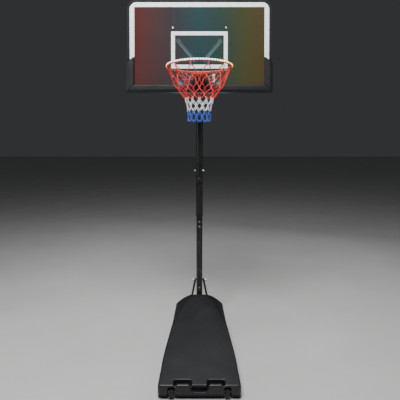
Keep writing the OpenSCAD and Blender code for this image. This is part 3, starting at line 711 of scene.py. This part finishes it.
# ---------------------------------------------------------------- pads
def pad(node):
    """A foam pad in a vinyl skin, with every edge softened."""
    made = remeshed_copy(node, node + "_foam", 0.0035, 5, MATERIALS["pad_vinyl"])
    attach(made, "upper")
    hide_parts(node)


# ---------------------------------------------------------------- net
def round_the_ring(turn, radius, z):
    """A point of the net: turn is in steps from one hook to the next."""
    a = turn * STEP
    return Vector((ring_centre.x + radius * math.cos(a), ring_centre.y + radius * math.sin(a), z))


def jitter(turn, row):
    """A small fixed unevenness of each knot."""
    seed = Vector((math.cos(turn * STEP) * 3.1, math.sin(turn * STEP) * 3.1, row * 1.7))
    return noise.noise_vector(seed) * 0.004


def knot_place(turn, row):
    """Where the cords cross in this row."""
    z, radius, _ = ROWS[row]
    return round_the_ring(turn, radius, z) + jitter(turn, row)


def span(start, end, over, steps=12):
    """A cord from one knot to the next.

    It leaves and meets each knot steeply. With over at 1 it starts outside the cord that it crosses and ends
    inside the next one, and with over at -1 the other way round.
    """
    steepness, bulge, sag = 0.62, 0.0025, 0.002
    centre_line = Vector((ring_centre.x, ring_centre.y, 0))
    a, b = start - centre_line, end - centre_line
    angle_a, angle_b = math.atan2(a.y, a.x), math.atan2(b.y, b.x)
    turn = (angle_b - angle_a + math.pi) % TAU - math.pi
    radius_a, radius_b = math.hypot(a.x, a.y), math.hypot(b.x, b.y)
    made = []
    for i in range(steps + 1):
        t = i / steps
        eased = t - steepness * math.sin(TAU * t) / TAU
        angle = angle_a + turn * eased
        belly = math.sin(math.pi * t)
        radius = radius_a + (radius_b - radius_a) * t + bulge * belly
        radius += over * CORD_R * 0.95 * math.cos(math.pi * t)
        z = a.z + (b.z - a.z) * t - sag * belly
        made.append(centre_line + Vector((radius * math.cos(angle), radius * math.sin(angle), z)))
    return made


def knot(place, tilt):
    """A tight trefoil of cord round the crossing."""
    size = 0.0040
    out = Vector((place.x - ring_centre.x, place.y - ring_centre.y, 0)).normalized()
    across = Vector((-out.y, out.x, 0))
    up = Vector((0, 0, 1))
    points = []
    corners = 60
    for i in range(corners):
        t = TAU * i / corners
        x = math.sin(t + tilt) + 1.6 * math.sin(2 * t)
        y = math.cos(t + tilt) - 1.6 * math.cos(2 * t)
        z = -1.1 * math.sin(3 * t)
        points.append(place + across * (x * size * 0.72) + up * (y * size * 0.95) + out * (z * size * 0.62))
    return sweep(points, CORD_R * 0.86, 9, 3, 0.07, 0.011, closed=True, step=0.0018)


def top_loop(turn):
    """The cord from one knot of the first row, over the hook and down to the next knot."""
    hook = round_the_ring(turn, ring_r, HOOK_Z)
    out = Vector((math.cos(turn * STEP), math.sin(turn * STEP), 0))
    across = Vector((-out.y, out.x, 0))
    left, right = knot_place(turn - 0.5, 0), knot_place(turn + 0.5, 0)
    lead = 0.018
    keys = [
        left, left.lerp(hook - across * 0.004 - out * 0.006, 0.35) - out * 0.001,
        left.lerp(hook - across * 0.0045 - out * 0.008, 0.72),
        hook - Vector((0, 0, lead)) - across * 0.004 - out * 0.0068,
        hook - Vector((0, 0, 0.009)) - across * 0.0012 - out * 0.0062,
        hook + Vector((0, 0, 0.0002)),
        hook - Vector((0, 0, 0.009)) + across * 0.0012 + out * 0.0062,
        hook - Vector((0, 0, lead)) + across * 0.004 + out * 0.0062,
        right.lerp(hook + across * 0.0045 + out * 0.004, 0.72),
        right.lerp(hook + across * 0.004 + out * 0.003, 0.35) + out * 0.001, right]
    return smooth_line(keys, 7)


def bottom_loop(turn):
    """The hanging loop between two knots of the last row."""
    row = len(ROWS) - 1
    left, right = knot_place(turn - 0.5, row), knot_place(turn + 0.5, row)
    row_z = ROWS[row][0]
    drop = row_z - END_Z
    sway = noise.noise(Vector((turn * 1.3, 4.2, 0))) * 0.006
    low = END_Z + CORD_R + abs(noise.noise(Vector((turn, 9.1, 2)))) * 0.012
    keys = [left]
    for offset, depth in ((-0.40, 0.22), (-0.34, 0.55), (-0.27, 0.85)):
        keys.append(round_the_ring(turn + offset, END_R + sway * depth, row_z - drop * depth))
    for offset, lift in ((-0.12, 0.004), (0, 0), (0.12, 0.004)):
        keys.append(round_the_ring(turn + offset, END_R + sway, low + lift))
    for offset, depth in ((0.27, 0.85), (0.34, 0.55), (0.40, 0.22)):
        keys.append(round_the_ring(turn + offset, END_R + sway * depth, row_z - drop * depth))
    keys.append(right)
    return smooth_line(keys, 6)


def cord(points):
    """The net's cord, three strands twisted together, along the points."""
    return sweep(points, CORD_R, 10, 3, 0.08, 0.013, step=0.002)


def net():
    """The net from its hooks down. Each row's knots and the cords below them share a colour."""
    red, white, blue = [], [], []
    for i in range(LOOPS):
        red.append(cord(top_loop(i + 0.5)))
        blue.append(cord(bottom_loop(i)))
    for row in range(len(ROWS)):
        strands = red if row + 1 < RED_ROWS else white if row + 1 < WHITE_ROWS else blue
        for i in range(LOOPS):
            turn = i + ROWS[row][2]
            strands.append(knot(knot_place(turn, row), 0.6 * ((i + row) % 3)))
            if row + 1 == len(ROWS):
                continue
            for side in (-1, 1):
                below = knot_place(turn + side * 0.5, row + 1)
                strands.append(cord(span(knot_place(turn, row), below, side)))
    for colour, parts in (("red", red), ("white", white), ("blue", blue)):
        made = joined(f"net_{colour}_cords", parts, MATERIALS[f"net_{colour}"])
        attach(made, "ring")
        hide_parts(f"net_{colour}")


# ---------------------------------------------------------------- ring details
def springs():
    """The two coil springs, with closed ends, drawn at full height. The real ones shorten to 0.655 of their
    height as the ring tips; nothing here shortens them.
    """
    low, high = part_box("rim_springs")
    wire = 0.0016
    coil_r = 0.010
    turns, closed_turns, points_per_turn = 6, 1.0, 24
    height = high.z - low.z
    middle_y = (low.y + high.y) / 2
    parts = []
    for side in (-1, 1):
        x = side * (high.x - coil_r - wire)
        points = []
        count = points_per_turn * turns
        for i in range(count + 1):
            t = i / count
            turn = turns * t
            free = min(max((turn - closed_turns) / (turns - 2 * closed_turns), 0), 1)
            z = wire + 2 * wire * (min(turn, closed_turns) + max(turn - turns + closed_turns, 0))
            z += free * (height - 2 * wire - 4 * wire * closed_turns)
            round_x = coil_r * math.cos(TAU * turn)
            round_y = coil_r * math.sin(TAU * turn)
            points.append(Vector((x + round_x, middle_y + round_y, low.z + z)))
        parts.append(sweep(points, wire, 10)[:2])
    made = joined("ring_springs", parts, MATERIALS["spring_steel"])
    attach(made, "upper")
    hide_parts("rim_springs")
    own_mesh(made)


def round_the_rod(radius, degrees):
    """A point (outwards, up) from the rod's middle. 0 degrees points away from the ring's middle."""
    a = math.radians(degrees)
    return radius * math.cos(a), radius * math.sin(a)


def arc_section(radius, start, end, steps=12):
    """Points round the rod from start to end degrees."""
    return [round_the_rod(radius, start + (end - start) * i / steps) for i in range(steps + 1)]


def light_strip():
    """The light: a clear strip round the outer side of the rod, which swells over each of its diodes."""
    steps = DIODES * 8
    round_edge = 4
    gap = 0.0001
    verts, faces = [], []
    for i in range(steps):
        a = TAU * i / steps
        out = Vector((math.cos(a), math.sin(a), 0))
        swell = STRIP_THICK * (0.80 + 0.20 * math.sin(DIODES * a))
        section = arc_section(rod_r + swell, STRIP_LOW + round_edge, STRIP_HIGH - round_edge)
        section.append(round_the_rod(rod_r + swell * 0.5, STRIP_HIGH))
        section += arc_section(rod_r + gap, STRIP_HIGH, STRIP_LOW)
        section.append(round_the_rod(rod_r + swell * 0.5, STRIP_LOW))
        verts += [ring_centre + out * (ring_r + x) + Vector((0, 0, z)) for x, z in section]
    n = len(section)
    for i in range(steps):
        j = (i + 1) % steps
        for k in range(n):
            m = (k + 1) % n
            faces.append([i * n + k, j * n + k, j * n + m, i * n + m])
    made = joined("light_strip_lens", [(verts, faces)], MATERIALS["light_tube"])
    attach(made, "ring")
    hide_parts("led_strip")


def light_ties():
    """Flat ties that hold the light strip on the rod. Each one slopes down to the rod beside the strip."""
    ties, steps = 12, 40
    half_width, wall, gap = 0.0018, 0.0008, 0.0001
    strip_middle, strip_half = (STRIP_LOW + STRIP_HIGH) / 2, (STRIP_HIGH - STRIP_LOW) / 2
    slope_foot, slope_run = strip_half + 16, 14
    parts = []
    for i in range(ties):
        a = TAU * i / ties
        out = Vector((math.cos(a), math.sin(a), 0))
        across = Vector((-out.y, out.x, 0))
        rod = ring_centre + out * ring_r
        verts, faces = [], []
        for k in range(steps):
            turn = 360 * k / steps
            from_middle = abs((turn - strip_middle + 180) % 360 - 180)
            lift = STRIP_THICK * min(1.0, max(0.0, (slope_foot - from_middle) / slope_run))
            radius = rod_r + lift + gap
            t = math.radians(turn)
            away = out * math.cos(t) + Vector((0, 0, math.sin(t)))
            inner, outer = rod + away * radius, rod + away * (radius + wall)
            aside = across * half_width
            verts += [inner - aside, outer - aside, outer + aside, inner + aside]
        for k in range(steps):
            m = (k + 1) % steps
            for c in range(4):
                d = (c + 1) % 4
                faces.append([k * 4 + c, k * 4 + d, m * 4 + d, m * 4 + c])
        parts.append((verts, faces))
    made = joined("light_ties", parts, MATERIALS["black_plastic"])
    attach(made, "ring")


# ---------------------------------------------------------------- build
dress_cad_nodes()
tank()
wheel(-1)
wheel(1)
pad("pad_left")
pad("pad_right")
pad("pad_bottom")
net()
springs()
light_strip()
light_ties()
